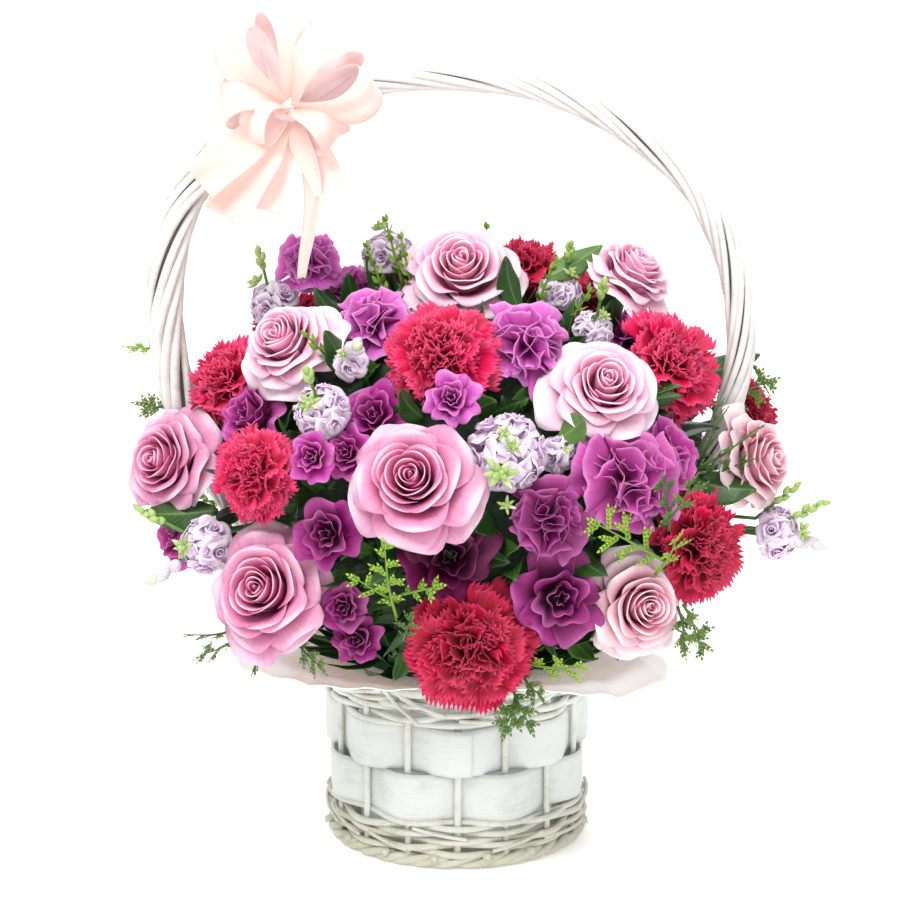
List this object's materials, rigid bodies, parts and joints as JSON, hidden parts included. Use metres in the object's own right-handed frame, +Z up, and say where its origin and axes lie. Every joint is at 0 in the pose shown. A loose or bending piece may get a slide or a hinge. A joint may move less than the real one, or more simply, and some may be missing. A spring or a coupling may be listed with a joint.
{
  "type": "flower basket arrangement",
  "caption": "Round white wicker basket with a tall hooped handle, filled with a dome of roses, carnations and stocks and dressed with a satin bow.",
  "frame": {"origin": "centre of the basket's underside, on the surface that it stands on", "axes": "+Z up, +X to the viewer's right along the handle's plane, -Y towards the viewer"},
  "size_m": [0.4204, 0.3865, 0.5396],
  "materials": {
    "painted_wicker": "satin",
    "painted_splint": "satin",
    "painted_rods": "satin",
    "liner_cloth": "matte",
    "soaked_foam": "matte",
    "satin_ribbon": "gloss",
    "rose_petals": "satin",
    "carnation_petals": "matte",
    "purple_petals": "matte",
    "stock_florets": "matte",
    "greenery": "satin"
  },
  "bodies": {
    "root": {"basket_frame": "painted_wicker", "foot_border": "painted_wicker", "splint_band_lower": "painted_splint", "splint_band_upper": "painted_splint", "handle": "painted_rods", "liner": "liner_cloth", "floral_foam": "soaked_foam", "ribbon_bow": "satin_ribbon", "rose_01": "rose_petals", "rose_02": "rose_petals", "rose_03": "rose_petals", "rose_04": "rose_petals", "rose_05": "rose_petals", "rose_06": "rose_petals", "rose_07": "rose_petals", "rose_08": "rose_petals", "rose_09": "rose_petals", "rose_10": "rose_petals", "rose_11": "rose_petals", "rose_12": "rose_petals", "rose_13": "rose_petals", "carnation_01": "carnation_petals", "carnation_02": "carnation_petals", "carnation_03": "carnation_petals", "carnation_04": "carnation_petals", "carnation_05": "carnation_petals", "carnation_06": "carnation_petals", "carnation_07": "carnation_petals", "carnation_08": "carnation_petals", "carnation_09": "carnation_petals", "carnation_10": "carnation_petals", "carnation_11": "carnation_petals", "purple_01": "purple_petals", "purple_02": "purple_petals", "purple_03": "purple_petals", "purple_04": "purple_petals", "purple_05": "purple_petals", "purple_06": "purple_petals", "purple_07": "purple_petals", "purple_08": "purple_petals", "purple_09": "purple_petals", "purple_10": "purple_petals", "purple_11": "purple_petals", "purple_12": "purple_petals", "purple_13": "purple_petals", "purple_14": "purple_petals", "purple_15": "purple_petals", "purple_16": "purple_petals", "purple_17": "purple_petals", "purple_18": "purple_petals", "stock_01": "stock_florets", "stock_02": "stock_florets", "stock_03": "stock_florets", "stock_04": "stock_florets", "stock_05": "stock_florets", "stock_06": "stock_florets", "stock_07": "stock_florets", "stock_08": "stock_florets", "stock_09": "stock_florets", "stems_and_leaves": "greenery"}
  },
  "joints": []
}
